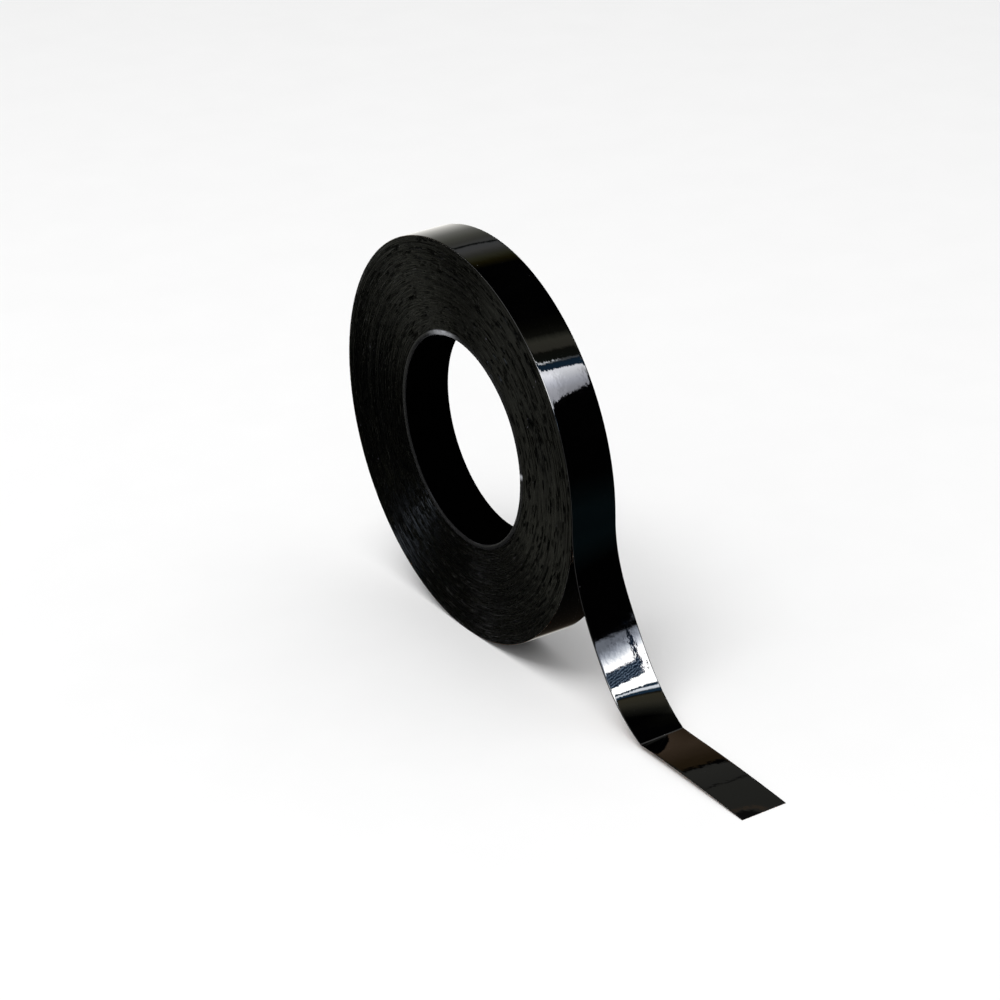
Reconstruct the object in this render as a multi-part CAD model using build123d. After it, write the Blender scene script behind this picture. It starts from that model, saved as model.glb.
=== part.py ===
"""Roll of black-faced copper foil tape, with its loose tail lying on the surface it stands on.

The roll's axis runs along Y and its dished front face looks towards -Y.  The tail leaves the
roll on the +X side.  The origin is on the roll's axis, halfway across the width of the outer
turn.  Every length is in millimetres and every angle in degrees.
"""
import os
from math import cos, pi, radians, sin

from build123d import *

# The tape: three bonded layers, listed from the face outwards of the roll to the sticky side.
TAPE_WIDTH = 8.7
FILM = 0.030
FOIL = 0.035
ADHESIVE = 0.025
TAPE = FILM + FOIL + ADHESIVE
LAYERS = {
    "film": (0.0, FILM),
    "foil": (FILM, FILM + FOIL),
    "adhesive": (FILM + FOIL, TAPE),
}

# The core, a short tube, and the turns wound on it.
BORE_RADIUS = 19.05
CORE_WALL = 1.0
CORE_RADIUS = BORE_RADIUS + CORE_WALL
CORE_RIM_RADIUS = 0.3
ROLL_RADIUS = 37.1
DISH_DEPTH = 1.2        # how far the core has slid back through the turns
CORE_BACK_PROUD = 1.7   # how far the core stands out behind the outer turn

# The loose tail.  A heading is measured from straight down, outwards from the roll.
PEEL_ANGLE = -5.0       # where the tail leaves the roll, from the +X direction
PEEL_LIFT = 0.02        # the tail's adhesive has let go of the turn under it
FIRST_BEND_RADIUS = 27.0
FIRST_BEND_HEADING = 30.0
STRAIGHT_RUN = 8.2
SECOND_BEND_RADIUS = 25.3
CREASE_HEADING = 62.0

# The end tab beyond the crease.
TAB_HEADING = 90.0
TAB_LENGTH = 28.1
FOLD_GAP = 0.16         # left free at a fold, so that square-cut layers can turn past each other


def direction(angle):
    """Unit vector in the XZ plane, as a pair, at an angle from +X towards +Z."""
    return Vector(cos(radians(angle)), sin(radians(angle)))


def heading_vector(heading):
    """Unit vector along a heading."""
    return Vector(sin(radians(heading)), -cos(radians(heading)))


def outward(heading):
    """Unit vector square to a heading, towards the face of the tape."""
    return Vector(cos(radians(heading)), sin(radians(heading)))


# The outermost turn is a spiral of two half turns.  The second is smaller by half a tape
# thickness, on a centre moved by as much, so the two meet without a corner.
PEEL_DIRECTION = direction(PEEL_ANGLE)
SECOND_CENTRE = PEEL_DIRECTION * (-TAPE / 2)
HALF_TURN = 180.0
REST_HEIGHT = SECOND_CENTRE.Y - (ROLL_RADIUS - TAPE / 2)


def half_turns(depth, start):
    """Arcs of the outermost turn at a depth below its face, from a start angle past the peel."""
    radius = ROLL_RADIUS - depth
    first = CenterArc((0, 0), radius, PEEL_ANGLE + start, HALF_TURN - start)
    second = CenterArc(SECOND_CENTRE, radius - TAPE / 2, PEEL_ANGLE + HALF_TURN, HALF_TURN)
    return first, second


def across(sketch, width=TAPE_WIDTH):
    """Solid of an outline in the XZ plane, carried across the width of the tape."""
    return extrude(Plane.XZ * sketch, amount=width / 2, both=True)


def outer_turn_layer(top, bottom):
    """One layer of the outermost turn, from just above the peel line round to under it."""
    start = FOLD_GAP / 2 / ROLL_RADIUS * HALF_TURN / pi
    outer = half_turns(top, start)
    inner = half_turns(bottom, start)
    ends = [
        Line(outer[0] @ 0, inner[0] @ 0),
        Line(outer[1] @ 1, inner[1] @ 1),
    ]
    return across(make_face([*outer, *inner, *ends]))


def dished_ring(outer_radius):
    """Ring of turns whose two faces are cones, pushed back more and more towards the core."""
    slope = DISH_DEPTH / (ROLL_RADIUS - CORE_RADIUS)

    def corner(radius, side):
        return radius, side * TAPE_WIDTH / 2 + slope * (ROLL_RADIUS - radius)

    section = make_face(Polyline(
        corner(CORE_RADIUS, -1),
        corner(outer_radius, -1),
        corner(outer_radius, 1),
        corner(CORE_RADIUS, 1),
        close=True,
    ))
    return revolve(section, Axis.Y)


def wound_pack():
    """All the turns under the outermost one, bonded to each other by their adhesive."""
    first, second = half_turns(TAPE, 0.0)
    step = Line(first @ 0, second @ 1)
    spiral_block = across(make_face([first, second, step]), 2 * TAPE_WIDTH)
    return dished_ring(ROLL_RADIUS + 1.0) & spiral_block


def core_ring():
    """Thin plastic tube inside the turns, with rounded rims."""
    front = -TAPE_WIDTH / 2 + DISH_DEPTH
    back = TAPE_WIDTH / 2 + CORE_BACK_PROUD
    section = make_face(Polyline(
        (BORE_RADIUS, front),
        (CORE_RADIUS, front),
        (CORE_RADIUS, back),
        (BORE_RADIUS, back),
        close=True,
    ))
    section = fillet(section.vertices(), CORE_RIM_RADIUS)
    return revolve(section, Axis.Y)


def bend(start, heading, end_heading, radius):
    """Centre of a bend of the tape, and the point where the bend ends."""
    side = 1 if end_heading > heading else -1
    centre = start + outward(heading) * (side * radius)
    return centre, centre - outward(end_heading) * (side * radius)


class Strip:
    """Outline of a run of tape along its face, kept as straight runs and bends."""

    def __init__(self, start, heading):
        self.start = start
        self.heading = heading
        self.spans = []

    def straight(self, length):
        end = self.start + heading_vector(self.heading) * length
        self.spans.append(("straight", self.start, end, self.heading))
        self.start = end

    def bend(self, end_heading, radius):
        centre, end = bend(self.start, self.heading, end_heading, radius)
        self.spans.append(("bend", centre, radius, self.heading, end_heading))
        self.start = end
        self.heading = end_heading

    def edges(self, depth):
        """Edges of the strip at a depth below its face."""
        edges = []
        for kind, *values in self.spans:
            if kind == "straight":
                start, end, heading = values
                shift = outward(heading) * -depth
                edges.append(Line(start + shift, end + shift))
                continue
            centre, radius, heading, end_heading = values
            opens_out = end_heading > heading
            rim = radius + depth if opens_out else radius - depth
            first_angle = heading + HALF_TURN if opens_out else heading
            edges.append(CenterArc(centre, rim, first_angle, end_heading - heading))
        return edges

    def layer(self, top, bottom):
        """Solid of the strip between two depths below its face."""
        upper = self.edges(top)
        lower = self.edges(bottom)
        ends = [
            Line(upper[0] @ 0, lower[0] @ 0),
            Line(upper[-1] @ 1, lower[-1] @ 1),
        ]
        return across(make_face([*upper, *lower, *ends]))


def tail_strip():
    """The tail from the peel line, down and outwards to the crease."""
    face_start = PEEL_DIRECTION * (ROLL_RADIUS + PEEL_LIFT)
    strip = Strip(face_start + heading_vector(PEEL_ANGLE) * (FOLD_GAP / 2), PEEL_ANGLE)
    strip.bend(FIRST_BEND_HEADING, FIRST_BEND_RADIUS)
    strip.straight(STRAIGHT_RUN)
    strip.bend(CREASE_HEADING, SECOND_BEND_RADIUS)
    return strip


TAIL = tail_strip()
MID_DEPTH = TAPE / 2
PEEL_PIVOT = PEEL_DIRECTION * (ROLL_RADIUS + PEEL_LIFT - MID_DEPTH)
TAIL_END = TAIL.start - outward(CREASE_HEADING) * MID_DEPTH
CREASE_PIVOT = TAIL_END + heading_vector(CREASE_HEADING) * (FOLD_GAP / 2)


def tab_strip():
    """The end tab, bowed down just enough for its free end to touch the rest surface."""
    mid_start = CREASE_PIVOT + heading_vector(TAB_HEADING) * (FOLD_GAP / 2)
    drop = mid_start.Y - MID_DEPTH - REST_HEIGHT
    turn = 2 * drop / TAB_LENGTH
    strip = Strip(mid_start + outward(TAB_HEADING) * MID_DEPTH, TAB_HEADING)
    strip.bend(TAB_HEADING - turn * HALF_TURN / pi, TAB_LENGTH / turn)
    return strip


TAB = tab_strip()


def build_parts():
    """Every node of the roll by name."""
    parts = {
        "core_ring": core_ring(),
        "wound_pack": wound_pack(),
    }
    for name, (top, bottom) in LAYERS.items():
        parts[f"outer_turn_{name}"] = outer_turn_layer(top, bottom)
        parts[f"tail_{name}"] = TAIL.layer(top, bottom)
        parts[f"tab_{name}"] = TAB.layer(top, bottom)
    return parts


os.makedirs("parts", exist_ok=True)
for node, solid in build_parts().items():
    export_step(solid, f"parts/{node}.step")

print("rest height", round(REST_HEIGHT, 4))
print("peel pivot", round(PEEL_PIVOT.X, 4), round(PEEL_PIVOT.Y, 4))
print("crease pivot", round(CREASE_PIVOT.X, 4), round(CREASE_PIVOT.Y, 4))
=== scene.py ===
"""Looks for the roll of black-faced copper foil tape: its turns, its peeling tail and its studio.

Lengths in the functions that build shapes are in millimetres, in the frame of the CAD model,
and are scaled to metres where a mesh is made.  A heading is measured from straight down,
outwards from the roll, as in the CAD model.
"""

import bpy
import numpy as np
from mathutils import Matrix, Vector, noise


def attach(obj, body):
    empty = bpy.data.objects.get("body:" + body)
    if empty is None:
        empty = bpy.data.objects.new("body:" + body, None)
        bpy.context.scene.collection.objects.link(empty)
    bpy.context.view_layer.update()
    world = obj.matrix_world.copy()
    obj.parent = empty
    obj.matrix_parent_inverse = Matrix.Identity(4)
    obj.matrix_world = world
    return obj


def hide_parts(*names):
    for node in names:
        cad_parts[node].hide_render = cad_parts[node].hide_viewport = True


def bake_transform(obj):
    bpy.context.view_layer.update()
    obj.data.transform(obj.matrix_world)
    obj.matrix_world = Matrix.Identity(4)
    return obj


MM = 0.001

# The tape and the roll, as in the CAD model.
TAPE_WIDTH = 8.7
HALF_WIDTH = TAPE_WIDTH / 2
FILM = 0.030
FOIL = 0.035
ADHESIVE = 0.025
TAPE = FILM + FOIL + ADHESIVE
BORE_RADIUS = 19.05
CORE_RADIUS = 20.05
ROLL_RADIUS = 37.1
DISH_DEPTH = 1.2
CORE_BACK_PROUD = 1.7
PEEL_ANGLE = -5.0
PEEL_LIFT = 0.02
CREASE_HEADING = 62.0
TAB_HEADING = 90.0
TAB_LENGTH = 28.1
TAIL_LENGTH = 38.82

# Small things that the CAD model leaves out or makes plainer.
HAIR_GAP = 0.001        # keeps bonded faces from lying exactly on each other
SET_BACK = 0.04         # how far the film's burnished lip hides the edges of the foil and adhesive
LIP_WIDTH = 0.16        # the film's burnished lip, along both edges of the tape
LIP_DROP = 0.024
CORE_FRONT_PROUD = 0.05  # how far the rim stands out of the turns beside it
CORE_RIM_RADIUS = 0.32

# The photograph's view.
CAMERA_AZIMUTH = 59.35
CAMERA_ELEVATION = 25.03
CAMERA_ROLL = -3.66
CAMERA_DISTANCE = 527.0
CAMERA_TARGET = (5.74, 0.64, -10.55)
LENS = 108.0
SENSOR = 36.0


# ---------------------------------------------------------------- shapes

def unit(angle):
    """Unit vectors (x, z) at angles from +X towards +Z, in degrees."""
    radians = np.radians(angle)
    return np.stack([np.cos(radians), np.sin(radians)], axis=-1)


def smoothstep(low, high, value):
    """Smooth change from 0 at low to 1 at high."""
    t = np.clip((value - low) / (high - low), 0, 1)
    return t * t * (3 - 2 * t)


def noise_grid(a, b, scale_a, scale_b, seed):
    """Smooth noise from -1 to 1 on the grid of two coordinate lists."""
    values = [
        noise.noise(Vector((x / scale_a, y / scale_b, seed)))
        for x in a
        for y in b
    ]
    return np.array(values).reshape(len(a), len(b))


def make_mesh(name, vertices, faces, material, sharp_angle=40, fields=None):
    """Smooth-shaded object from vertices in millimetres, with vector attributes of its points."""
    mesh = bpy.data.meshes.new(name)
    points = np.asarray(vertices, float) * MM
    mesh.from_pydata(points.tolist(), [], np.asarray(faces).tolist())
    mesh.update()
    mesh.shade_smooth()
    mesh.set_sharp_from_angle(angle=np.radians(sharp_angle))
    for field, values in (fields or {}).items():
        attribute = mesh.attributes.new(field, "FLOAT_VECTOR", "POINT")
        attribute.data.foreach_set("vector", np.asarray(values, np.float32).ravel())
    mesh.materials.append(material)
    obj = bpy.data.objects.new(name, mesh)
    bpy.context.scene.collection.objects.link(obj)
    return obj


def grid_faces(rows, columns, start=0, closed_rows=False, flip=False):
    """Quads of a grid of points numbered row by row."""
    last = rows if closed_rows else rows - 1
    i, j = np.meshgrid(np.arange(last), np.arange(columns - 1), indexing="ij")
    below = (i + 1) % rows
    quads = np.stack([
        start + i * columns + j,
        start + below * columns + j,
        start + below * columns + j + 1,
        start + i * columns + j + 1,
    ], axis=-1).reshape(-1, 4)
    return quads[:, ::-1] if flip else quads


def ring_faces(rows, columns, flip=False):
    """Quads of a closed ring of closed sections, with a row of points for each section."""
    row = np.arange(rows)
    below = (row + 1) % rows
    closing = np.stack([
        row * columns + columns - 1,
        below * columns + columns - 1,
        below * columns,
        row * columns,
    ], axis=-1)
    if flip:
        closing = closing[:, ::-1]
    return np.concatenate([
        grid_faces(rows, columns, closed_rows=True, flip=flip),
        closing,
    ])


def on_ring(angles, radii, across):
    """Points of a ring from the angle of each row and the radius and Y of each point."""
    direction = unit(angles)
    x = direction[:, 0, None] * radii
    z = direction[:, 1, None] * radii
    return np.stack([x, across, z], axis=-1)


class Path:
    """Line that the face of a run of tape follows, in the XZ plane."""

    def __init__(self, points, headings, lengths):
        self.points = np.asarray(points, float)
        self.headings = np.asarray(headings, float)
        self.lengths = np.asarray(lengths, float)

    def joined(self, other):
        """This path followed by another, whose first point repeats this one's last."""
        return Path(
            np.concatenate([self.points, other.points[1:]]),
            np.concatenate([self.headings, other.headings[1:]]),
            np.concatenate([self.lengths, other.lengths[1:]]),
        )

    def between(self, low, high):
        """The part between two lengths along it."""
        keep = (self.lengths >= low - 1e-6) & (self.lengths <= high + 1e-6)
        return Path(self.points[keep], self.headings[keep], self.lengths[keep])


def width_stations():
    """Places across the tape, closer together at its two burnished lips."""
    inner = np.linspace(-HALF_WIDTH + LIP_WIDTH, HALF_WIDTH - LIP_WIDTH, 33)
    steps = LIP_WIDTH * np.array([0.0, 0.12, 0.3, 0.6])
    return np.concatenate([-HALF_WIDTH + steps, inner, HALF_WIDTH - steps[::-1]])


def lip_drop(across):
    """How far the face curves down towards the edges of the tape."""
    inset = np.clip((HALF_WIDTH - np.abs(across)) / LIP_WIDTH, 0, 1)
    return LIP_DROP * (1 - inset) ** 2


def tape_layer(name, path, top, bottom, material, rise=None, lipped=False):
    """Closed thin solid of one layer of the tape along a path."""
    across = width_stations()
    if not lipped:
        across = across * (1 - SET_BACK / HALF_WIDTH)
    rows, columns = len(path.points), len(across)
    lift = np.zeros((rows, columns)) if rise is None else rise(path.lengths, across)
    normal = unit(path.headings)

    def skin(depth, extra):
        reach = lift - depth - extra
        x = path.points[:, None, 0] + normal[:, None, 0] * reach
        z = path.points[:, None, 1] + normal[:, None, 1] * reach
        y = np.broadcast_to(across, x.shape)
        return np.stack([x, y, z], axis=-1).reshape(-1, 3)

    drop = lip_drop(across) if lipped else np.zeros(columns)
    upper = skin(top, np.broadcast_to(drop, lift.shape))
    lower = skin(bottom, np.zeros_like(lift))
    count = rows * columns
    near = np.arange(rows) * columns
    far = near + columns - 1
    first = np.arange(columns)
    last = first + (rows - 1) * columns

    def wall(line, flip):
        quads = np.stack([line[:-1], line[1:], line[1:] + count, line[:-1] + count], axis=-1)
        return quads[:, ::-1] if flip else quads

    faces = np.concatenate([
        grid_faces(rows, columns),
        grid_faces(rows, columns, start=count, flip=True),
        wall(near, flip=True),
        wall(far, flip=False),
        wall(first, flip=False),
        wall(last, flip=True),
    ])
    along = np.repeat(path.lengths, columns)
    place = np.stack([along, np.tile(across, rows), np.full(count, top)], axis=-1)
    place = np.concatenate([place, place + np.array([0, 0, bottom - top])])
    return make_mesh(
        name,
        np.concatenate([upper, lower]),
        faces,
        material,
        fields={"tape": place},
    )


# ---------------------------------------------------------------- the roll

SECOND_CENTRE = unit(PEEL_ANGLE) * (-TAPE / 2)
HALF_TURN = 180.0
REST_HEIGHT = SECOND_CENTRE[1] - (ROLL_RADIUS - TAPE / 2)
BLEND_ON_ROLL = 1.5     # degrees of the outer turn that belong to the peel's bend
BLEND_ON_TAIL = 1.0     # length of tail that belongs to it


def outer_turn_path():
    """Outermost turn from above the peel, over the top and round to under the peel."""
    first = np.linspace(PEEL_ANGLE + BLEND_ON_ROLL, PEEL_ANGLE + HALF_TURN, 360)
    second = np.linspace(PEEL_ANGLE + HALF_TURN, PEEL_ANGLE + 2 * HALF_TURN, 361)[1:]
    points = np.concatenate([
        unit(first) * ROLL_RADIUS,
        SECOND_CENTRE + unit(second) * (ROLL_RADIUS - TAPE / 2),
    ])
    angles = np.concatenate([first, second])
    # Lengths grow along the strip and are 0 at the peel line, so they are negative on the roll.
    lengths = -np.radians(angles - PEEL_ANGLE) * ROLL_RADIUS
    return Path(points[::-1], angles[::-1], lengths[::-1])


def peel_run():
    """The last stretch still bonded to the roll, down to the peel line."""
    angles = np.linspace(PEEL_ANGLE + BLEND_ON_ROLL, PEEL_ANGLE, 18)
    lift = PEEL_LIFT * smoothstep(PEEL_ANGLE + BLEND_ON_ROLL, PEEL_ANGLE, angles)
    points = unit(angles) * (ROLL_RADIUS + lift)[:, None]
    lengths = -np.radians(angles - PEEL_ANGLE) * ROLL_RADIUS
    return Path(points, angles, lengths)


# Lengths past the peel and the loose tape's heading there.
TAIL_BENDS = (
    (0, PEEL_ANGLE),
    (14.5, 25.2),
    (17.5, 27.8),
    (20, 28.8),
    (22.3, 30.5),
    (25.7, 33.5),
    (29.4, 41),
    (31.1, 45.2),
    (33, 49.4),
    (34.5, 52.4),
    (37, 57.9),
    (TAIL_LENGTH, CREASE_HEADING),
)
TWIST_RISE = 0.485      # how far the twist lifts one edge of the tail and lowers the other
WAVE_RISE = 0.012


def loose_headings(length):
    """Heading of the loose tape at a length past the peel, up to the crease."""
    stops, headings = zip(*TAIL_BENDS)
    nearby = [
        np.interp(np.clip(length + offset, 0, TAIL_LENGTH), stops, headings)
        for offset in np.linspace(-1, 1, 9)
    ]
    return np.mean(nearby, axis=0)


CREASE_LENGTH = 0.32
STRIP_END = TAIL_LENGTH + CREASE_LENGTH + TAB_LENGTH


def loose_path():
    """The loose tail, its crease and the tab beyond it."""
    tail = np.concatenate([
        np.linspace(0, BLEND_ON_TAIL, 17),
        np.linspace(BLEND_ON_TAIL, TAIL_LENGTH, 195)[1:],
    ])
    crease = np.linspace(TAIL_LENGTH, TAIL_LENGTH + CREASE_LENGTH, 14)[1:]
    tab = np.linspace(crease[-1], STRIP_END, 130)[1:]
    lengths = np.concatenate([tail, crease, tab])

    def follow(turn):
        folded = np.clip((lengths - TAIL_LENGTH) / CREASE_LENGTH, 0, 1)
        headings = np.where(
            lengths <= TAIL_LENGTH,
            loose_headings(lengths),
            TAB_HEADING - (TAB_HEADING - CREASE_HEADING) * (1 - folded) ** 2,
        )
        past = np.clip((lengths - crease[-1]) / TAB_LENGTH, 0, 1)
        headings = headings - turn * past
        middle = np.radians((headings[1:] + headings[:-1]) / 2)
        steps = np.diff(lengths)
        x = np.concatenate([[0], np.cumsum(np.sin(middle) * steps)])
        z = np.concatenate([[0], np.cumsum(-np.cos(middle) * steps)])
        start = unit(PEEL_ANGLE) * (ROLL_RADIUS + PEEL_LIFT)
        return np.stack([x, z], axis=-1) + start, headings

    level, headings = follow(0.0)
    drop = level[-1, 1] - TAPE - REST_HEIGHT
    turn = np.degrees(2 * drop / TAB_LENGTH)
    points, headings = follow(turn)
    return Path(points, headings, lengths)


def loose_rise(lengths, across):
    """How far the loose tape stands off its path: a slight twist and slow waves."""
    twist = TWIST_RISE * smoothstep(2.0, 19.0, lengths) * (1 - smoothstep(28.0, 44.0, lengths))
    rise = twist[:, None] * (across / HALF_WIDTH)[None, :]
    loose = smoothstep(1.0, 8.0, lengths)
    grounded = 1 - smoothstep(STRIP_END - 6, STRIP_END, lengths)
    waves = noise_grid(lengths, across, 7.0, 11.0, 3.7)
    return rise + WAVE_RISE * waves * (loose * grounded)[:, None]


# ---------------------------------------------------------------- wound turns

RING_PITCH = 0.25
SEGMENTS = 600
MIDDLE_RADIUS = 28.5    # where lengths round the turns are true in their texture
RIDGE_SHARE = 0.22      # where a ridge stands in its share of the radius
RIDGE_PROUD = 0.03
GROOVE_DEPTH = 0.035
INNER_STEP = 0.04       # how far the innermost and outermost edges sit below the face
OUTER_STEP = 0.05
DRIFT = 0.02            # slow change of level from turn to turn
WAVE = 0.012            # waves round a turn
FINE_WAVE = 0.02
SLIP_SPACING = 1.5      # a turn has one slipped stretch for about this much of its radius
SLIP_REACH = (0.4, 1.5)  # half the length of a slipped stretch, least and most
SLIP_DEPTH = (0.05, 0.16)


def pack_radius(angles):
    """Outer radius of the wound pack, which is a spiral of two half turns."""
    within = (angles - PEEL_ANGLE) % (2 * HALF_TURN)
    direction = unit(angles)
    along = direction @ SECOND_CENTRE
    radius = ROLL_RADIUS - TAPE / 2 - TAPE
    second = along + np.sqrt(radius**2 - SECOND_CENTRE @ SECOND_CENTRE + along**2)
    return np.where(within <= HALF_TURN, ROLL_RADIUS - TAPE, second)


def ring_offsets(radii, seed):
    """How far each ring sits behind the others, with short gaps where a turn has slipped in."""
    random = np.random.RandomState(seed)
    angles = np.linspace(0, 2 * np.pi, SEGMENTS, endpoint=False)
    kernel = np.hanning(9)
    softening = np.fft.fft(kernel / kernel.sum(), SEGMENTS)
    offsets = np.zeros((SEGMENTS, len(radii)))
    slow = np.cumsum(random.normal(0, DRIFT, len(radii)))
    slow -= np.linspace(slow[0], slow[-1], len(radii))
    for k, radius in enumerate(radii):
        ring = np.full(SEGMENTS, slow[k])
        for wave in range(1, 7):
            size = WAVE / np.sqrt(wave)
            ring += size * random.normal() * np.cos(wave * angles + random.uniform(0, 2 * np.pi))
        fine = random.normal(0, 1, SEGMENTS)
        ring += FINE_WAVE * np.real(np.fft.ifft(np.fft.fft(fine) * softening))
        for _ in range(random.poisson(radius / SLIP_SPACING)):
            centre = random.uniform(0, 2 * np.pi)
            reach = random.uniform(*SLIP_REACH) / radius
            depth = random.uniform(*SLIP_DEPTH)
            away = np.abs((angles - centre + np.pi) % (2 * np.pi) - np.pi)
            ring += depth * (1 - smoothstep(0.6 * reach, reach, away))
        offsets[:, k] = ring
    return offsets


def turn_edges(name, side, material, seed):
    """Half of the wound pack, on one side of its middle, with the edges of its turns modelled."""
    random = np.random.RandomState(seed + 50)
    angles = np.arange(SEGMENTS) * (360.0 / SEGMENTS)
    outer = pack_radius(angles)
    count = int(round((ROLL_RADIUS - TAPE - CORE_RADIUS) / RING_PITCH))
    pitches = random.uniform(0.7, 1.3, count)
    edges = np.concatenate([[0], np.cumsum(pitches)]) / pitches.sum()
    ridges = edges[:-1] + np.diff(edges) * RIDGE_SHARE
    shares = np.empty(2 * count + 1)
    shares[0::2] = edges
    shares[1::2] = ridges
    span = (outer - CORE_RADIUS)[:, None]
    radii = CORE_RADIUS + span * shares[None, :]
    dish = DISH_DEPTH * (1 - shares)
    offsets = ring_offsets(CORE_RADIUS + (ROLL_RADIUS - CORE_RADIUS) * ridges, seed)
    behind = np.zeros((SEGMENTS, 2 * count + 1))
    behind[:, 1::2] = offsets - RIDGE_PROUD
    behind[:, 2:-1:2] = (offsets[:, :-1] + offsets[:, 1:]) / 2 + GROOVE_DEPTH
    behind[:, 0] = INNER_STEP
    behind[:, -1] = OUTER_STEP
    face = on_ring(angles, radii, side * HALF_WIDTH + dish[None, :] - side * behind)
    # Two more points close the section at the middle of the pack, at its outer and inner radius.
    middle = np.broadcast_to(dish[[-1, 0]], (SEGMENTS, 2))
    rear = on_ring(angles, radii[:, [-1, 0]], middle)
    vertices = np.concatenate([face, rear], axis=1)
    columns = vertices.shape[1]
    rear_values = np.zeros((SEGMENTS, 2))
    recess = np.concatenate([behind, rear_values], axis=1).reshape(-1)
    turn = np.concatenate([radii, rear_values], axis=1).reshape(-1)
    around = np.repeat(unit(angles) * MIDDLE_RADIUS, columns, axis=0)
    return make_mesh(
        name,
        vertices.reshape(-1, 3),
        ring_faces(SEGMENTS, columns, flip=side < 0),
        material,
        sharp_angle=25,
        fields={
            "turns": np.column_stack([around, turn]),
            "recess": np.column_stack([recess, recess, recess]),
        },
    )


CORE_SEGMENTS = 480
RIM_WOBBLE = 0.05       # unevenness that the cutter left on the front rim


def core_tube(rim_material, bore_material):
    """Thin tube inside the turns, with rounded rims that its cutter left slightly uneven."""
    front = -HALF_WIDTH + DISH_DEPTH - CORE_FRONT_PROUD
    back = HALF_WIDTH + CORE_BACK_PROUD
    rim = CORE_RIM_RADIUS
    arcs = np.linspace(0, 90, 6)
    section = []
    for corner_r, corner_y, start in (
        (CORE_RADIUS - rim, front + rim, -90),
        (CORE_RADIUS - rim, back - rim, 0),
        (BORE_RADIUS + rim, back - rim, 90),
        (BORE_RADIUS + rim, front + rim, 180),
    ):
        turned = unit(arcs + start)
        section += [(corner_r + rim * r, corner_y + rim * y) for r, y in turned]
    section = np.array(section)
    angles = np.arange(CORE_SEGMENTS) * (360.0 / CORE_SEGMENTS)
    wobble = np.array([noise.noise(Vector((*(unit(a) * 3.0), 8.0))) for a in angles])
    push = RIM_WOBBLE * wobble[:, None] * (section[None, :, 1] < 0)
    points = on_ring(angles, section[None, :, 0], section[None, :, 1] + push)
    tube = make_mesh(
        "core_tube",
        points.reshape(-1, 3),
        ring_faces(CORE_SEGMENTS, len(section)),
        rim_material,
    )
    tube.data.materials.append(bore_material)
    reach = (BORE_RADIUS + 0.02) * MM
    for face in tube.data.polygons:
        face.material_index = int(np.hypot(face.center.x, face.center.z) < reach)
    return tube


# ---------------------------------------------------------------- shader nodes

class Nodes:
    """Short way to add shader nodes to a tree and link them."""

    def __init__(self, tree):
        self.tree = tree
        tree.nodes.clear()

    def add(self, kind, **settings):
        node = self.tree.nodes.new(kind)
        for name, value in settings.items():
            setattr(node, name, value)
        return node

    def feed(self, socket, value):
        """Links a socket to a socket, or sets it to a plain value."""
        if isinstance(value, bpy.types.NodeSocket):
            self.tree.links.new(value, socket)
        else:
            socket.default_value = value

    def math(self, operation, *values, clamp=False):
        node = self.add("ShaderNodeMath", operation=operation, use_clamp=clamp)
        for socket, value in zip(node.inputs, values):
            self.feed(socket, value)
        return node.outputs[0]

    def vector(self, operation, *values):
        node = self.add("ShaderNodeVectorMath", operation=operation)
        for socket, value in zip(node.inputs, values):
            self.feed(socket, value)
        return node.outputs["Vector"]

    def smooth(self, value, low, high, to_low=0.0, to_high=1.0):
        """Smooth change of a value's range."""
        node = self.add("ShaderNodeMapRange", interpolation_type="SMOOTHSTEP")
        for socket, given in zip(node.inputs, (value, low, high, to_low, to_high)):
            self.feed(socket, given)
        return node.outputs[0]

    def band(self, value, low, high, soft):
        """1 between low and high, with soft ends."""
        up = self.smooth(value, low - soft, low + soft)
        down = self.smooth(value, high - soft, high + soft, 1.0, 0.0)
        return self.math("MULTIPLY", up, down)

    def ramp(self, value, stops, low=0.0, high=1.0):
        """Colour ramp over a range of a value.  A stop is (place, red, green, blue)."""
        place = self.math("DIVIDE", self.math("SUBTRACT", value, low), high - low)
        node = self.add("ShaderNodeValToRGB")
        elements = node.color_ramp.elements
        while len(elements) < len(stops):
            elements.new(0.5)
        for element, (at, *colour) in zip(elements, stops):
            element.position = (at - low) / (high - low)
            element.color = (*colour, 1.0)
        self.feed(node.inputs[0], place)
        return node.outputs[0]

    def mix(self, share, a, b):
        """Colour a, changing to colour b as share goes from 0 to 1."""
        node = self.add("ShaderNodeMix", data_type="RGBA")
        self.feed(node.inputs["Factor"], share)
        self.feed(node.inputs[6], a)
        self.feed(node.inputs[7], b)
        return node.outputs[2]

    def noise(self, vector, scale, detail=2.0, roughness=0.5):
        node = self.add("ShaderNodeTexNoise")
        self.feed(node.inputs["Vector"], vector)
        node.inputs["Scale"].default_value = scale
        node.inputs["Detail"].default_value = detail
        node.inputs["Roughness"].default_value = roughness
        return node.outputs[0]

    def attribute(self, name):
        return self.add("ShaderNodeAttribute", attribute_name=name).outputs["Vector"]

    def scaled(self, vector, scale):
        return self.vector("MULTIPLY", vector, scale)

    def split(self, vector):
        node = self.add("ShaderNodeSeparateXYZ")
        self.feed(node.inputs[0], vector)
        return node.outputs


def grey(level):
    """Opaque grey of a level from 0 to 1."""
    return (level, level, level, 1.0)


def principled(name, **constants):
    """Material with a Principled shader, its node helper and the shader."""
    material = bpy.data.materials.new(name)
    material.use_nodes = True
    nodes = Nodes(material.node_tree)
    shader = nodes.add("ShaderNodeBsdfPrincipled")
    output = nodes.add("ShaderNodeOutputMaterial")
    nodes.tree.links.new(shader.outputs[0], output.inputs["Surface"])
    for socket, value in constants.items():
        shader.inputs[socket.replace("_", " ")].default_value = value
    return material, nodes, shader


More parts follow.
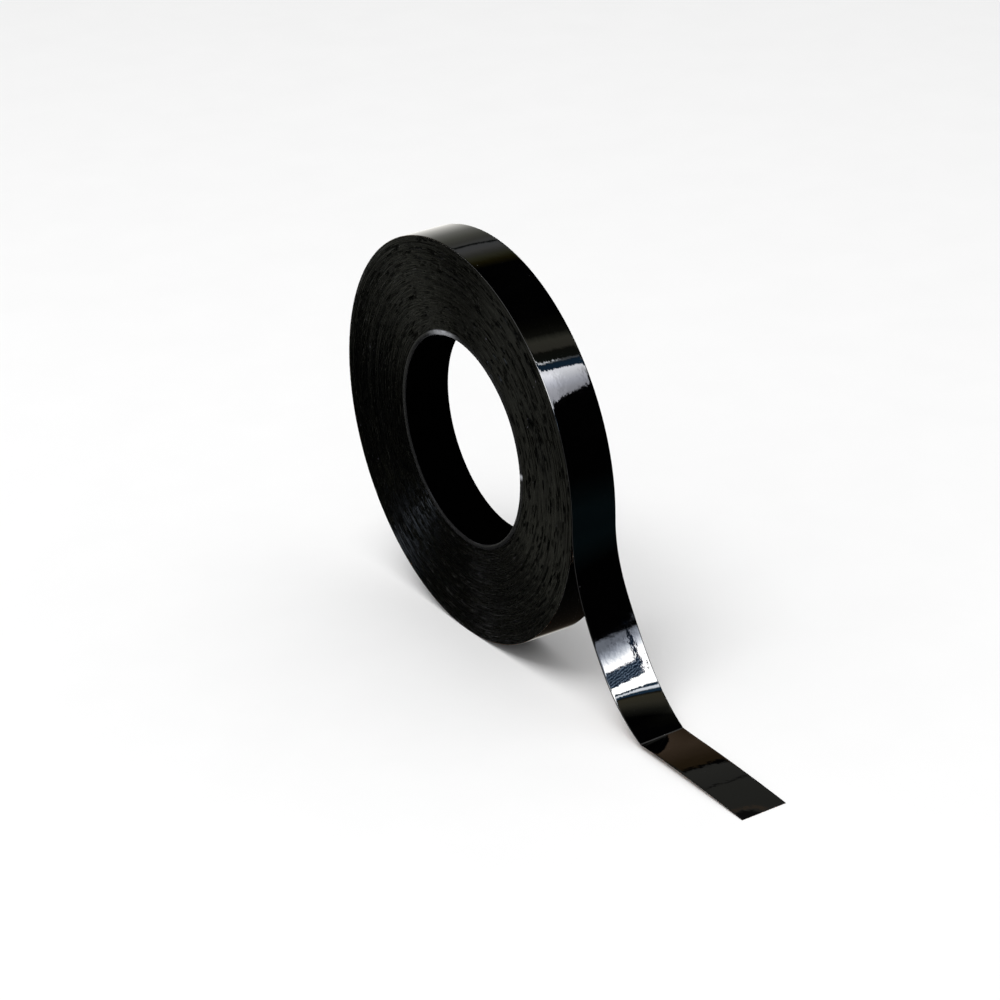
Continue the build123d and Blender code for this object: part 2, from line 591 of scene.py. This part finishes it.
def add_bump(nodes, shader, height, distance):
    """Bump whose height, from 0 to 1, stands for a distance in millimetres."""
    bump = nodes.add("ShaderNodeBump")
    bump.inputs["Strength"].default_value = 1.0
    bump.inputs["Distance"].default_value = distance * MM
    nodes.feed(bump.inputs["Height"], height)
    nodes.tree.links.new(bump.outputs[0], shader.inputs["Normal"])


# ---------------------------------------------------------------- materials

def film_material():
    """Mirror-black film with a little orange peel, faint smears, some dust and a paler crease that
    is a painted highlight.
    """
    material, nodes, shader = principled("black_film", IOR=1.5)
    place = nodes.attribute("tape")
    along = nodes.split(place)[0]
    peel = nodes.noise(place, 1.1, detail=2.0)
    ripple = nodes.noise(nodes.scaled(place, (0.5, 0.3, 1.0)), 1.0, detail=1.0)
    add_bump(nodes, shader, nodes.math("ADD", peel, ripple), 0.0020)
    smear = nodes.noise(nodes.scaled(place, (0.5, 0.12, 1.0)), 0.6, detail=3.0)
    roughness = nodes.smooth(smear, 0.35, 0.75, 0.008, 0.03)
    dust = nodes.smooth(nodes.noise(place, 1.9, detail=0.0), 0.875, 0.90)
    # Paler, rougher band along the crease: a painted highlight.
    painted_fold_highlight = nodes.band(along, TAIL_LENGTH + 0.02, TAIL_LENGTH + CREASE_LENGTH - 0.02, 0.06)
    dust_and_fold_highlight = nodes.math("MAXIMUM", dust, nodes.math("MULTIPLY", painted_fold_highlight, 0.6))
    colour = nodes.mix(smear, (0.0002, 0.0002, 0.0002, 1.0), (0.0007, 0.0007, 0.0008, 1.0))
    nodes.feed(shader.inputs["Base Color"], nodes.mix(dust_and_fold_highlight, colour, grey(0.05)))
    matt = nodes.math("MULTIPLY", dust_and_fold_highlight, 0.2)
    nodes.feed(shader.inputs["Roughness"], nodes.math("ADD", roughness, matt))
    return material


def foil_material():
    """Rolled copper foil."""
    material, nodes, shader = principled("copper_foil", Metallic=1.0)
    place = nodes.attribute("tape")
    rolled = nodes.noise(nodes.scaled(place, (0.12, 6.0, 1.0)), 1.0, detail=3.0)
    tone = nodes.mix(rolled, (0.78, 0.36, 0.22, 1.0), (0.90, 0.48, 0.30, 1.0))
    nodes.feed(shader.inputs["Base Color"], tone)
    nodes.feed(shader.inputs["Roughness"], nodes.smooth(rolled, 0.3, 0.7, 0.24, 0.36))
    add_bump(nodes, shader, rolled, 0.004)
    return material


def adhesive_material():
    """Clear acrylic adhesive, slightly yellow and uneven, over the copper."""
    material, nodes, shader = principled("adhesive", IOR=1.47, Transmission_Weight=0.9)
    place = nodes.attribute("tape")
    flow = nodes.noise(nodes.scaled(place, (0.35, 0.8, 1.0)), 1.0, detail=3.0)
    nodes.feed(
        shader.inputs["Base Color"],
        nodes.mix(flow, (0.93, 0.86, 0.74, 1.0), (0.97, 0.93, 0.86, 1.0)),
    )
    nodes.feed(shader.inputs["Roughness"], nodes.smooth(flow, 0.3, 0.7, 0.12, 0.3))
    add_bump(nodes, shader, flow, 0.006)
    return material


def turns_material():
    """Slit edges of the wound turns: charcoal with an olive cast, scuffs, painted shade in the
    recessed gaps and painted glints.
    """
    material, nodes, shader = principled("wound_edges", IOR=1.5, Anisotropic=0.3)
    place = nodes.attribute("turns")
    recess = nodes.split(nodes.attribute("recess"))[0]
    streak = nodes.noise(nodes.scaled(place, (0.30, 0.30, 4.5)), 1.0, detail=3.0, roughness=0.65)
    patch = nodes.noise(nodes.scaled(place, (0.10, 0.10, 0.3)), 1.0, detail=2.0)
    tone = nodes.mix(
        nodes.smooth(streak, 0.36, 0.66),
        (0.0001, 0.0001, 0.0001, 1.0),
        (0.0038, 0.0039, 0.0028, 1.0),
    )
    tone = nodes.mix(nodes.smooth(patch, 0.4, 0.7), tone, (0.0011, 0.0012, 0.0011, 1.0))
    # Recessed gaps are painted darker: painted shade.
    painted_gap_shade = nodes.smooth(recess, 0.02, 0.10)
    tone = nodes.mix(painted_gap_shade, tone, grey(0.0001))
    # Pale lilac specks: painted glints.
    glint = nodes.noise(nodes.scaled(place, (0.8, 0.8, 3.0)), 1.0, detail=1.0)
    glint = nodes.smooth(glint, 0.78, 0.84)
    tone = nodes.mix(nodes.math("MULTIPLY", glint, 0.4), tone, (0.22, 0.21, 0.27, 1.0))
    nodes.feed(shader.inputs["Base Color"], tone)
    gloss = nodes.smooth(streak, 0.35, 0.65, 0.34, 0.18)
    matt = nodes.math("MULTIPLY", painted_gap_shade, 0.45)
    nodes.feed(shader.inputs["Roughness"], nodes.math("MAXIMUM", gloss, matt))
    tangent = nodes.add("ShaderNodeTangent", direction_type="RADIAL", axis="Y")
    nodes.tree.links.new(tangent.outputs[0], shader.inputs["Tangent"])
    return material


def rim_material():
    """Cut rims of the core, scuffed to a satin grey, with painted highlights: a pale patch near the
    top and a pale dot at the side.
    """
    material, nodes, shader = principled("core_rim", IOR=1.5)
    place = nodes.add("ShaderNodeTexCoord").outputs["Object"]
    scuff = nodes.noise(place, 900.0, detail=3.0)
    grain = nodes.noise(nodes.scaled(place, (300.0, 900.0, 300.0)), 1.0, detail=2.0)
    pale = nodes.mix(scuff, (0.008, 0.008, 0.0083, 1.0), (0.020, 0.020, 0.021, 1.0))
    tone = nodes.mix(nodes.smooth(grain, 0.55, 0.75), pale, grey(0.010))
    x, _, z = nodes.split(place)
    angle = nodes.math("DEGREES", nodes.math("ARCTAN2", z, x))
    # A pale patch at 94 to 108 degrees round the rim and a pale dot near 0 degrees: painted
    # highlights.
    patch = nodes.band(angle, 94.0, 108.0, 12.0)
    painted_rim_highlights = nodes.math("MAXIMUM", patch, nodes.band(angle, -1.5, 1.0, 1.0))
    painted_rim_highlights = nodes.math("MULTIPLY", painted_rim_highlights, nodes.smooth(scuff, 0.3, 0.6, 0.5, 1.0))
    nodes.feed(shader.inputs["Base Color"], nodes.mix(painted_rim_highlights, tone, (0.46, 0.47, 0.50, 1.0)))
    nodes.feed(shader.inputs["Roughness"], nodes.smooth(scuff, 0.3, 0.7, 0.10, 0.20))
    add_bump(nodes, shader, scuff, 0.006)
    return material


def bore_material():
    """Matt black inside of the core."""
    material, nodes, shader = principled("core_bore", IOR=1.5, Specular_IOR_Level=0.0)
    place = nodes.add("ShaderNodeTexCoord").outputs["Object"]
    grain = nodes.noise(place, 700.0, detail=3.0)
    nodes.feed(shader.inputs["Base Color"], nodes.mix(grain, grey(0.0001), grey(0.0005)))
    nodes.feed(shader.inputs["Roughness"], nodes.smooth(grain, 0.3, 0.7, 0.7, 0.9))
    add_bump(nodes, shader, grain, 0.010)
    return material


def floor_material():
    """Matt pale table top."""
    material, nodes, shader = principled("pale_floor", Roughness=1.0, Specular_IOR_Level=0.0)
    place = nodes.add("ShaderNodeTexCoord").outputs["Object"]
    grain = nodes.noise(place, 60.0, detail=3.0)
    nodes.feed(shader.inputs["Base Color"], nodes.mix(grain, grey(0.88), grey(0.91)))
    return material


# ---------------------------------------------------------------- studio

VIEW_TILT = 28.5        # angle of the camera above +X, seen along the roll's axis
RIM_ASIDE = 0.491       # how far to +Y the untwisted tape mirrors, as part of a unit vector
TAIL_ASIDE = 0.2775     # the same for the twisted tail
TAIL_LINE = 0.00186     # change of it over a millimetre across the tail
SLANT_LIMIT = 0.016     # how far to each side of RIM_ASIDE the view goes on changing
# Lean of the window's bars, its sill and the rail: degrees round the rim for 1 of the unit vector.
LEVEL_SLANT = 69.0
SILL_SLANT = 185.0
RAIL_SLANT = 100.0
# Degrees round the rim of the sill, the sill as the twisted tail mirrors it, and the dark rail.
SILL = 31.5
TAIL_SILL = 27.1
RAIL = (83.8, 84.8)
WINDOW_LIGHT = 18.0
FLANK_LIGHT = 30.0
WINDOW_LOW = 26.0
WINDOW_HIGH = 56.0
DEEP_BLUE = (0.006, 0.016, 0.030)
# The tall window and its frame, by the angle round the rim at which the camera sees them.
WINDOW_STOPS = (
    (31.0, 0.24, 0.245, 0.27),
    (33.0, 0.29, 0.295, 0.325),
    (34.0, 0.36, 0.37, 0.415),
    (35.0, 0.45, 0.46, 0.51),
    (37.2, 0.70, 0.71, 0.75),
    (38.3, 0.80, 0.81, 0.86),
    (38.5, *DEEP_BLUE),
    (39.8, *DEEP_BLUE),
    (40.8, 0.004, 0.005, 0.004),
    (43.4, 0.004, 0.004, 0.003),
    (44.2, 0.025, 0.024, 0.019),
    (46.5, 0.028, 0.027, 0.021),
    (47.5, 0.017, 0.017, 0.013),
    (48.5, 0.004, 0.004, 0.003),
    (51.0, 0.0013, 0.0013, 0.0007),
    (54.0, 0.0, 0.0, 0.0),
)
# The same window as the twisted tail mirrors it.
FLANK_STOPS = (
    (27.4, 0.10, 0.11, 0.13),
    (28.2, 0.22, 0.24, 0.28),
    (29.0, 0.50, 0.53, 0.58),
    (29.8, 1.0, 1.0, 1.0),
    (38.6, 1.0, 1.0, 1.0),
    (38.8, *DEEP_BLUE),
    (39.5, *DEEP_BLUE),
    (39.8, 0.55, 0.58, 0.62),
    (40.4, 0.45, 0.47, 0.50),
    (40.7, *DEEP_BLUE),
    (41.4, *DEEP_BLUE),
    (41.8, 0.003, 0.003, 0.002),
    (42.5, 0.020, 0.018, 0.012),
    (45.0, 0.016, 0.015, 0.011),
    (47.5, 0.005, 0.005, 0.004),
    (50.0, 0.0, 0.0, 0.0),
)
ROOM_LOW = -30.75
ROOM_HIGH = 149.25
# The room behind the roll, from under the table's edge, over the top and down behind it.
ROOM_STOPS = (
    (-30.75, 0.008, 0.008, 0.007),
    (-17.0, 0.004, 0.005, 0.004),
    (-8.0, 0.014, 0.036, 0.046),
    (-1.0, 0.021, 0.055, 0.066),
    (8.5, 0.0, 0.0, 0.0),
    (74.0, 0.0, 0.0, 0.0),
    (76.5, 0.080, 0.065, 0.012),
    (78.5, 0.195, 0.195, 0.110),
    (80.5, 0.25, 0.25, 0.22),
    (82.4, 0.37, 0.37, 0.36),
    (84.0, 0.36, 0.37, 0.38),
    (88.5, 0.22, 0.22, 0.195),
    (91.8, 0.29, 0.295, 0.25),
    (96.5, 0.48, 0.48, 0.44),
    (100.5, 0.84, 0.83, 0.78),
    (105.0, 1.12, 1.10, 1.04),
    (112.0, 1.28, 1.26, 1.20),
    (120.0, 0.90, 0.87, 0.80),
    (126.0, 0.05, 0.04, 0.03),
    (131.0, 0.018, 0.014, 0.010),
    (149.25, 0.008, 0.008, 0.007),
)
# Soft panels that the wound turns catch: direction, edge and middle of the panel as cosines of
# the angle from it, and light.
PANELS = (
    ((-0.92, -0.35, -0.19), 0.955, 0.99, (0.180, 0.182, 0.155)),
    ((-0.50, -0.86, -0.08), 0.955, 0.99, (0.315, 0.32, 0.275)),
    ((-0.40, -0.75, -0.52), 0.955, 0.99, (0.30, 0.30, 0.25)),
    ((0.05, -0.74, 0.67), 0.98, 0.995, (1.20, 1.35, 1.60)),
    ((-0.91, -0.28, 0.31), 0.9965, 0.999, (1.1, 1.1, 1.15)),
)


def window_view(nodes, rim, slant):
    """Window and frame as the untwisted tape mirrors them, dimmer towards +Y, and their share."""
    level = nodes.math("ADD", rim, nodes.math("MULTIPLY", slant, LEVEL_SLANT))
    view = nodes.ramp(level, WINDOW_STOPS, WINDOW_LOW, WINDOW_HIGH)
    near_line = nodes.smooth(slant, -0.0005, -0.0065, 0.05, 0.60)
    line = nodes.math("MULTIPLY", nodes.band(level, 40.3, 40.8, 0.15), near_line)
    view = nodes.mix(line, view, (0.90, 0.93, 0.97, 1.0))
    bright = nodes.smooth(slant, 0.0, -0.0065, 1.0, 1.5)
    bright = nodes.math("MULTIPLY", bright, nodes.smooth(slant, 0.0095, 0.003, 0.35, 1.0))
    low = nodes.smooth(level, 38.6, 36.5)
    gain = nodes.math("ADD", nodes.math("MULTIPLY", nodes.math("SUBTRACT", bright, 1.0), low), 1.0)
    scale = nodes.add("ShaderNodeVectorMath", operation="SCALE")
    nodes.feed(scale.inputs[0], view)
    nodes.feed(scale.inputs["Scale"], gain)
    sill = nodes.math("ADD", nodes.math("MULTIPLY", slant, SILL_SLANT), SILL)
    above = nodes.smooth(nodes.math("SUBTRACT", rim, sill), -0.2, 0.2)
    return level, scale.outputs["Vector"], above


def flank_view(nodes, rim, y):
    """The window as the twisted tail mirrors it, and its share."""
    across = nodes.math("DIVIDE", nodes.math("SUBTRACT", y, TAIL_ASIDE), TAIL_LINE)
    across = nodes.math("MINIMUM", across, HALF_WIDTH)
    sill = nodes.math("ADD", nodes.math("MULTIPLY", across, -0.02), TAIL_SILL)
    above = nodes.smooth(nodes.math("SUBTRACT", rim, sill), -0.2, 0.2)
    level = nodes.math("ADD", rim, nodes.math("MULTIPLY", across, 0.15))
    return nodes.ramp(level, FLANK_STOPS, WINDOW_LOW, WINDOW_HIGH), above


def tent_material():
    """Surroundings that the glossy film mirrors: a window, a pale wall, soft panels and the dark."""
    material = bpy.data.materials.new("surroundings")
    material.use_nodes = True
    nodes = Nodes(material.node_tree)
    place = nodes.add("ShaderNodeTexCoord").outputs["Object"]
    towards = nodes.vector("NORMALIZE", place)
    x, y, z = nodes.split(towards)
    # The angle above +X runs from -90 degrees, so that the room below and behind is in one piece.
    angle = nodes.math("DEGREES", nodes.math("ARCTAN2", z, x))
    angle = nodes.math("FLOORED_MODULO", nodes.math("ADD", angle, 90.0), 360.0)
    angle = nodes.math("SUBTRACT", angle, 90.0)
    rim = nodes.math("MULTIPLY", nodes.math("ADD", angle, VIEW_TILT), 0.5)
    aside = nodes.math("SUBTRACT", y, RIM_ASIDE)
    slant = nodes.math("MINIMUM", nodes.math("MAXIMUM", aside, -SLANT_LIMIT), SLANT_LIMIT)
    level, window, above_sill = window_view(nodes, rim, slant)
    flank, above_hedge = flank_view(nodes, rim, y)
    room = nodes.ramp(level, ROOM_STOPS, ROOM_LOW, ROOM_HIGH)
    leaning = nodes.math("ADD", level, nodes.math("MULTIPLY", slant, RAIL_SLANT))
    rail = nodes.band(leaning, *RAIL, 0.35)
    room = nodes.mix(nodes.math("MULTIPLY", rail, 0.95), room, (0.010, 0.014, 0.014, 1.0))

    on_tail = nodes.smooth(y, 0.42, 0.36)
    on_tail = nodes.math("MULTIPLY", on_tail, nodes.smooth(y, 0.18, 0.24))
    lights = [
        (window, WINDOW_LIGHT, nodes.math("MULTIPLY", above_sill, nodes.band(y, 0.39, 0.56, 0.03))),
        (flank, FLANK_LIGHT, nodes.math("MULTIPLY", above_hedge, on_tail)),
        (room, 1.0, nodes.band(y, 0.38, 0.56, 0.05)),
    ]
    flecks = nodes.smooth(nodes.noise(towards, 40.0, detail=2.0), 0.42, 0.58, 0.10, 0.60)
    overhead = nodes.math("MAXIMUM", nodes.smooth(z, 0.35, 0.7), flecks)
    overhead = nodes.math("MULTIPLY", nodes.band(y, -0.05, 0.20, 0.03), overhead)
    lights.append(((1.0, 1.0, 1.0, 1.0), 1.9, overhead))
    for direction, edge, middle, light in PANELS:
        facing = nodes.add("ShaderNodeVectorMath", operation="DOT_PRODUCT")
        nodes.feed(facing.inputs[0], towards)
        nodes.feed(facing.inputs[1], Vector(direction).normalized())
        lights.append(((*light, 1.0), 1.0, nodes.smooth(facing.outputs["Value"], edge, middle)))

    total = None
    for colour, strength, share in lights:
        glow = nodes.add("ShaderNodeEmission")
        nodes.feed(glow.inputs["Color"], colour)
        nodes.feed(glow.inputs["Strength"], nodes.math("MULTIPLY", share, strength))
        if total is None:
            total = glow.outputs[0]
            continue
        both = nodes.add("ShaderNodeAddShader")
        nodes.tree.links.new(total, both.inputs[0])
        nodes.tree.links.new(glow.outputs[0], both.inputs[1])
        total = both.outputs[0]
    output = nodes.add("ShaderNodeOutputMaterial")
    nodes.tree.links.new(total, output.inputs["Surface"])
    return material


def mirror_only(obj):
    """Lets only reflections see an object, which is part of the studio."""
    obj.visible_camera = False
    obj.visible_diffuse = False
    obj.visible_transmission = False
    obj.visible_volume_scatter = False
    obj.visible_shadow = False
    return obj


def add_tent():
    """Large sphere of surroundings, seen only in reflections."""
    bpy.ops.mesh.primitive_ico_sphere_add(subdivisions=5, radius=30.0)
    tent = bpy.context.object
    tent.name = "surroundings"
    tent.data.materials.append(tent_material())
    return mirror_only(tent)


BOARD_LOW = -14.0
BOARD_HIGH = 40.0
# Brown board, dark joins and grey board, by height up the board in millimetres.
BOARD_STOPS = (
    (-14.0, 0.44, 0.33, 0.26),
    (-6.0, 0.34, 0.23, 0.15),
    (3.0, 0.15, 0.095, 0.045),
    (4.9, 0.14, 0.09, 0.04),
    (5.3, 0.004, 0.004, 0.004),
    (6.0, 0.004, 0.004, 0.004),
    (6.5, 0.205, 0.205, 0.185),
    (13.6, 0.18, 0.18, 0.165),
    (13.9, 0.05, 0.05, 0.048),
    (14.3, 0.05, 0.05, 0.048),
    (14.7, 0.19, 0.19, 0.17),
    (40.0, 0.17, 0.17, 0.155),
)


def board_material():
    """Boards that the flat tab mirrors, with a dark thing in front and a round brown edge."""
    material = bpy.data.materials.new("boards")
    material.use_nodes = True
    nodes = Nodes(material.node_tree)
    place = nodes.scaled(nodes.add("ShaderNodeTexCoord").outputs["Object"], (1000.0, 1000.0, 0.0))
    x, y, _ = nodes.split(place)
    ragged = nodes.math("SUBTRACT", nodes.noise(place, 0.22, detail=1.0), 0.5)
    height = nodes.math("ADD", y, nodes.math("MULTIPLY", ragged, 2.2))
    height = nodes.math("ADD", height, nodes.math("MULTIPLY", x, -0.12))
    boards = nodes.ramp(height, BOARD_STOPS, BOARD_LOW, BOARD_HIGH)

    def distance(centre, size):
        away = nodes.vector("SUBTRACT", place, (*centre, 0.0))
        node = nodes.add("ShaderNodeVectorMath", operation="LENGTH")
        nodes.feed(node.inputs[0], nodes.vector("DIVIDE", away, (*size, 1.0)))
        return node.outputs["Value"]

    dark = nodes.smooth(distance((-12.0, -12.0), (6.2, 5.6)), 1.06, 0.96)
    boards = nodes.mix(dark, boards, grey(0.0))
    round_edge = distance((4.0, 32.5), (7.0, 7.0))
    brown = nodes.band(round_edge, 0.80, 0.90, 0.10)
    boards = nodes.mix(brown, boards, (0.36, 0.26, 0.18, 1.0))
    boards = nodes.mix(nodes.smooth(round_edge, 0.74, 0.62), boards, grey(0.04))
    node = nodes.add("ShaderNodeEmission")
    nodes.feed(node.inputs["Color"], boards)
    output = nodes.add("ShaderNodeOutputMaterial")
    nodes.tree.links.new(node.outputs[0], output.inputs["Surface"])
    return material


def twig_material():
    """Dark tree crown, twigs and hanging shoots before the window, seen in the twisted tail."""
    material = bpy.data.materials.new("twigs")
    material.use_nodes = True
    nodes = Nodes(material.node_tree)
    place = nodes.scaled(nodes.add("ShaderNodeTexCoord").outputs["Object"], (1000.0, 1000.0, 0.0))
    x, height, _ = nodes.split(place)
    # The bending tail stretches the board unevenly: these are millimetres across and along it.
    across = nodes.math("DIVIDE", nodes.math("SUBTRACT", x, 0.18), 1.21)
    below = nodes.math("MAXIMUM", nodes.math("SUBTRACT", 16.0, height), 0.0)
    along = nodes.math("MULTIPLY", nodes.math("POWER", below, 0.4), 2.75)
    along = nodes.math("SUBTRACT", along, 2.6)
    combined = nodes.add("ShaderNodeCombineXYZ")
    nodes.feed(combined.inputs[0], across)
    nodes.feed(combined.inputs[1], along)
    even = combined.outputs[0]
    coarse = nodes.math("SUBTRACT", nodes.noise(even, 0.9, detail=2.0), 0.5)
    fringe = nodes.noise(nodes.scaled(even, (3.2, 0.5, 1.0)), 1.0, detail=2.0)
    fringe = nodes.math("SUBTRACT", fringe, 0.5)

    tilted = nodes.math("ADD", along, nodes.math("MULTIPLY", across, 0.12))
    top = nodes.math("ADD", tilted, nodes.math("MULTIPLY", fringe, 2.2))
    under = nodes.math("ADD", tilted, nodes.math("MULTIPLY", coarse, 1.0))
    aside = nodes.math("ADD", across, nodes.math("MULTIPLY", coarse, 1.4))
    crown = nodes.math("MULTIPLY", nodes.smooth(top, 5.65, 5.85), nodes.smooth(under, 9.0, 8.85))
    crown = nodes.math("MULTIPLY", crown, nodes.smooth(aside, 2.95, 2.75))

    bent = nodes.math("ADD", across, nodes.math("MULTIPLY", coarse, 0.9))
    stem = nodes.band(bent, 1.95, 2.75, 0.12)
    stem = nodes.math("MULTIPLY", stem, nodes.band(along, 0.5, 6.2, 0.4))
    shoot = nodes.band(bent, 3.85, 4.15, 0.08)
    shoot = nodes.math("MULTIPLY", shoot, nodes.band(along, 6.2, 8.2, 0.1))
    hanging = nodes.smooth(fringe, 0.02, 0.12)
    hanging = nodes.math("MULTIPLY", hanging, nodes.band(across, -2.2, 1.8, 0.4))
    hanging = nodes.math("MULTIPLY", hanging, nodes.smooth(along, 3.6, 2.4))
    solid = nodes.math("MAXIMUM", nodes.math("MAXIMUM", crown, stem), shoot)
    share = nodes.math("MAXIMUM", solid, nodes.math("MULTIPLY", hanging, 0.8))
    share = nodes.math("MULTIPLY", share, nodes.smooth(height, 14.6, 13.6))

    lean = nodes.math("MULTIPLY", along, 11.0)
    lean = nodes.math("ADD", lean, nodes.math("MULTIPLY", across, 4.5))
    lean = nodes.math("ADD", lean, nodes.math("MULTIPLY", coarse, 7.0))
    gaps = nodes.math("MULTIPLY", nodes.smooth(nodes.math("SINE", lean), 0.35, 1.0), crown)
    bark = nodes.mix(nodes.smooth(along, 0.8, 3.5), grey(0.0), (0.12, 0.28, 0.57, 1.0))
    colour = nodes.mix(gaps, bark, (3.2, 4.4, 6.0, 1.0))
    glow = nodes.add("ShaderNodeEmission")
    nodes.feed(glow.inputs["Color"], colour)
    clear = nodes.add("ShaderNodeBsdfTransparent")
    both = nodes.add("ShaderNodeMixShader")
    nodes.feed(both.inputs[0], share)
    nodes.tree.links.new(clear.outputs[0], both.inputs[1])
    nodes.tree.links.new(glow.outputs[0], both.inputs[2])
    output = nodes.add("ShaderNodeOutputMaterial")
    nodes.tree.links.new(both.outputs[0], output.inputs["Surface"])
    return material


BOARD_DISTANCE = 150.0


def add_board(name, material, mirrored, towards, half_width, half_height):
    """Small board near a mirrored place of the tape, square to the direction it is mirrored in."""
    towards = Vector(towards).normalized()
    centre = (Vector(mirrored) + towards * BOARD_DISTANCE) * MM
    across = Vector((0, 1, 0)).cross(towards)
    side = towards.cross(across).normalized()
    across.normalize()
    mesh = bpy.data.meshes.new(name)
    corners = [
        (side_x * half_width * MM, side_y * half_height * MM, 0)
        for side_x, side_y in ((-1, -1), (1, -1), (1, 1), (-1, 1))
    ]
    mesh.from_pydata(corners, [], [(0, 1, 2, 3)])
    mesh.materials.append(material)
    board = bpy.data.objects.new(name, mesh)
    bpy.context.scene.collection.objects.link(board)
    board.matrix_world = Matrix((
        (side.x, across.x, towards.x, centre.x),
        (side.y, across.y, towards.y, centre.y),
        (side.z, across.z, towards.z, centre.z),
        (0, 0, 0, 1),
    ))
    return mirror_only(board)


def add_floor():
    """Pale floor, left out of reflections so that the black film stays black."""
    bpy.ops.mesh.primitive_plane_add(size=8.0, location=(0, 0, REST_HEIGHT * MM))
    floor = bpy.context.object
    floor.name = "floor"
    floor.data.materials.append(floor_material())
    floor.visible_glossy = False


def add_area_light(name, direction, distance, size, power):
    """Square soft light that looks at the roll."""
    data = bpy.data.lights.new(name, "AREA")
    data.size = size
    data.energy = power
    light = bpy.data.objects.new(name, data)
    bpy.context.scene.collection.objects.link(light)
    place = Vector(direction).normalized() * distance
    light.location = place
    light.rotation_euler = (-place).to_track_quat("-Z", "Y").to_euler()
    light.visible_glossy = False
    return light


def add_world():
    """Pale light from above for matt surfaces; glossy ones see the surroundings instead."""
    world = bpy.data.worlds.new("studio")
    world.use_nodes = True
    nodes = Nodes(world.node_tree)
    height = nodes.split(nodes.add("ShaderNodeTexCoord").outputs["Generated"])[2]
    background = nodes.add("ShaderNodeBackground")
    nodes.feed(background.inputs["Strength"], nodes.smooth(height, -0.3, 0.9, 0.10, 0.95))
    output = nodes.add("ShaderNodeOutputWorld")
    nodes.tree.links.new(background.outputs[0], output.inputs["Surface"])
    world.cycles_visibility.glossy = False
    bpy.context.scene.world = world


def add_camera():
    """Camera at the photograph's viewing angle."""
    azimuth, elevation, roll = np.radians([CAMERA_AZIMUTH, CAMERA_ELEVATION, CAMERA_ROLL])
    back = Vector((
        np.sin(azimuth) * np.cos(elevation),
        -np.cos(azimuth) * np.cos(elevation),
        np.sin(elevation),
    ))
    level_right = Vector((np.cos(azimuth), np.sin(azimuth), 0))
    level_up = back.cross(level_right)
    right = level_right * np.cos(roll) + level_up * np.sin(roll)
    up = back.cross(right)
    place = (Vector(CAMERA_TARGET) + back * CAMERA_DISTANCE) * MM
    data = bpy.data.cameras.new("camera")
    data.sensor_width = SENSOR
    data.lens = LENS
    data.clip_start = 0.01
    camera = bpy.data.objects.new("camera", data)
    bpy.context.scene.collection.objects.link(camera)
    camera.matrix_world = Matrix((
        (right.x, up.x, back.x, place.x),
        (right.y, up.y, back.y, place.y),
        (right.z, up.z, back.z, place.z),
        (0, 0, 0, 1),
    ))
    bpy.context.scene.camera = camera


# ---------------------------------------------------------------- the scene

LAYERS = (
    ("film", 0.0, FILM, film_material, "black_film"),
    ("foil", FILM + HAIR_GAP, FILM + FOIL, foil_material, "copper_foil"),
    ("adhesive", FILM + FOIL + HAIR_GAP, TAPE, adhesive_material, "adhesive"),
)


def add_tape():
    """Outermost turn, peel bend and loose tail of every layer of the tape."""
    turn = outer_turn_path()
    loose = loose_path()
    bend = peel_run().joined(loose.between(0, BLEND_ON_TAIL))
    rest = loose.between(bend.lengths[-1], STRIP_END)
    for layer, top, bottom, make_material, slot in LAYERS:
        material = make_material()
        lipped = layer == "film"
        outer = tape_layer(f"outer_turn_{layer}_skin", turn, top, bottom, material, lipped=lipped)
        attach(outer, "roll")
        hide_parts(f"outer_turn_{layer}")
        bent = tape_layer(f"peel_{layer}", bend, top, bottom, material, loose_rise, lipped)
        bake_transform(bent)
        strip = tape_layer(f"loose_{layer}", rest, top, bottom, material, loose_rise, lipped)
        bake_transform(strip)
        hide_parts(f"tail_{layer}", f"tab_{layer}")


def add_roll():
    """Wound turns and core."""
    edges = turns_material()
    front = turn_edges("wound_turns_front", -1, edges, 11)
    back = turn_edges("wound_turns_back", 1, edges, 23)
    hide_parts("wound_pack")
    core = core_tube(rim_material(), bore_material())
    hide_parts("core_ring")
    for piece, slot in ((front, "wound_edges"), (back, "wound_edges"), (core, "core_plastic")):
        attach(piece, "roll")


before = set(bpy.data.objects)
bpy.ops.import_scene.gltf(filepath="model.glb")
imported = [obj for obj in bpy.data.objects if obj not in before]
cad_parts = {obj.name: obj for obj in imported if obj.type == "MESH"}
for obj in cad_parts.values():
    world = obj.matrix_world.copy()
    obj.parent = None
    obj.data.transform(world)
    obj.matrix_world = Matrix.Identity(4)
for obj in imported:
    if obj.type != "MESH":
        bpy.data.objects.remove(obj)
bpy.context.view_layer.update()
add_world()
add_floor()
add_tent()
add_board(
    "boards",
    board_material(),
    mirrored=(68.0, 0.0, -36.0),
    towards=(-0.70, 0.49, 0.51),
    half_width=30.0,
    half_height=42.0,
)
add_board(
    "twigs",
    twig_material(),
    mirrored=(44.57, 0.0, -26.53),
    towards=(0.804, 0.276, 0.526),
    half_width=12.0,
    half_height=30.0,
)
add_area_light("key", direction=(0.1, -0.3, 0.95), distance=1.25, size=0.7, power=9.0)
add_camera()
add_roll()
add_tape()
bpy.context.scene.view_settings.view_transform = "Standard"
